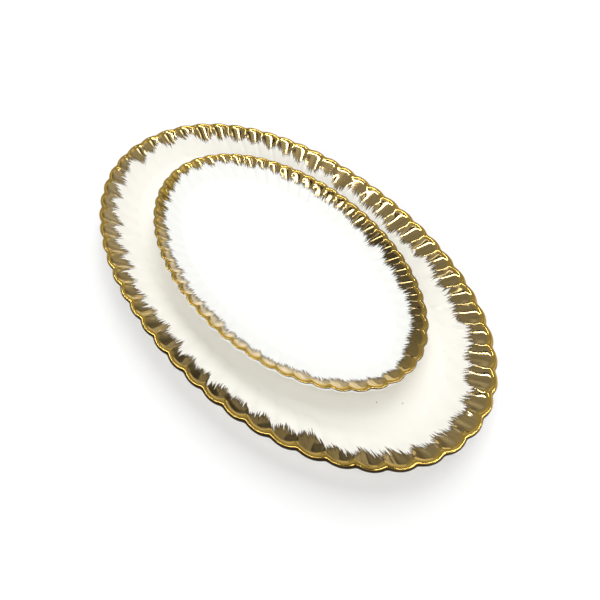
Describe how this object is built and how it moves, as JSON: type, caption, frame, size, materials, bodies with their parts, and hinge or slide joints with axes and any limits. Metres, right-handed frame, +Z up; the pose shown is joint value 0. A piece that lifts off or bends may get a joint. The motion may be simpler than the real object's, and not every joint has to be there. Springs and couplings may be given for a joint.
{
  "type": "china serving platter",
  "caption": "Nested oval china serving platters with fluted walls and scalloped lips brushed in gold; the smaller one rests loose in the larger one's well and lifts off.",
  "frame": {"origin": "centre of the large platter in plan, on the plane that its foot ring stands on", "axes": "+X along the platters' long axis, +Y across them, +Z up"},
  "size_m": [0.3562, 0.2124, 0.0241],
  "materials": {
    "large_china": "glossy white glaze, rim brushed with burnished gold film",
    "small_china": "glossy white glaze, rim brushed with burnished gold film"
  },
  "bodies": {
    "large": {"large_platter": "large_china"},
    "small": {"small_platter": "small_china"}
  },
  "joints": [
    {"name": "small_lift", "type": "slide", "parent": "large", "child": "small", "axis": [0, 0, 1], "range_m": [0, 0.12]}
  ]
}
